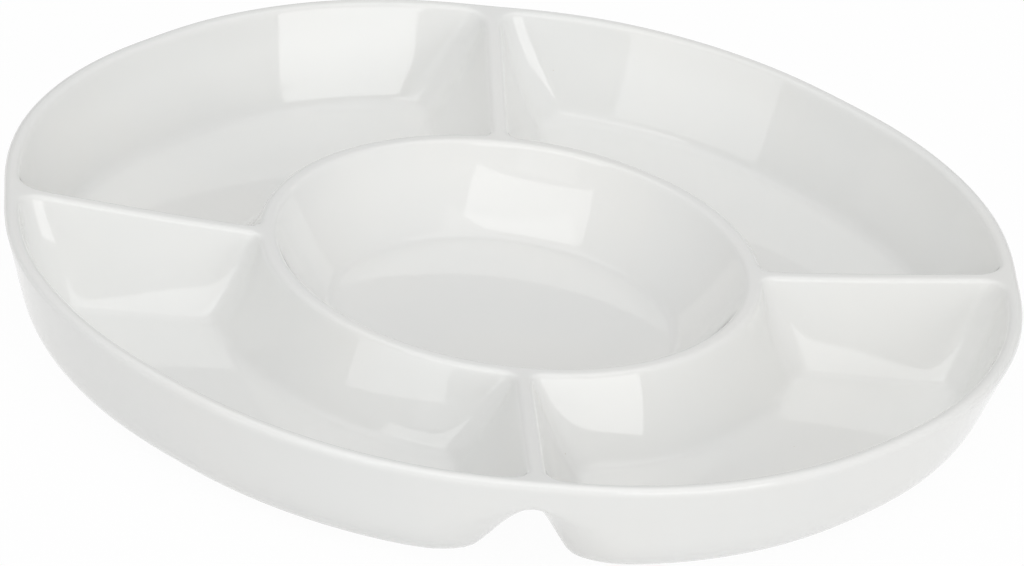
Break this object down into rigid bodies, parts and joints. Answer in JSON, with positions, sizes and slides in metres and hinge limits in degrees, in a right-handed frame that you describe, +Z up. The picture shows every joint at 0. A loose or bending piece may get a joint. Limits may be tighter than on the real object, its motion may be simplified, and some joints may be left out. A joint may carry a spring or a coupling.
{
  "type": "divided serving bowl",
  "caption": "Low round glazed ceramic serving bowl: a round middle dish inside a ring of curved dishes parted by low ridges, with a softly lobed rim.",
  "frame": {"origin": "on the table under the middle of the bowl: the centre of the foot plane", "axes": "+Z up out of the bowl; the dividers lie along X and Y, and -Y is the side nearest the camera"},
  "size_m": [0.2564, 0.2564, 0.031],
  "materials": {
    "glaze": "glossy white glaze",
    "bare_clay": "unglazed fired clay, ground flat"
  },
  "bodies": {
    "root": {"centre_dish": "glaze", "ring_ridge": "glaze", "outer_dish_back_right": "glaze", "outer_dish_back_left": "glaze", "outer_dish_front_left": "glaze", "outer_dish_front_right": "glaze", "divider_ridge_right": "glaze", "divider_ridge_back": "glaze", "divider_ridge_left": "glaze", "divider_ridge_front": "glaze", "centre_foot": "bare_clay", "foot_back_right": "bare_clay", "foot_back_left": "bare_clay", "foot_front_left": "bare_clay", "foot_front_right": "bare_clay"}
  },
  "joints": []
}
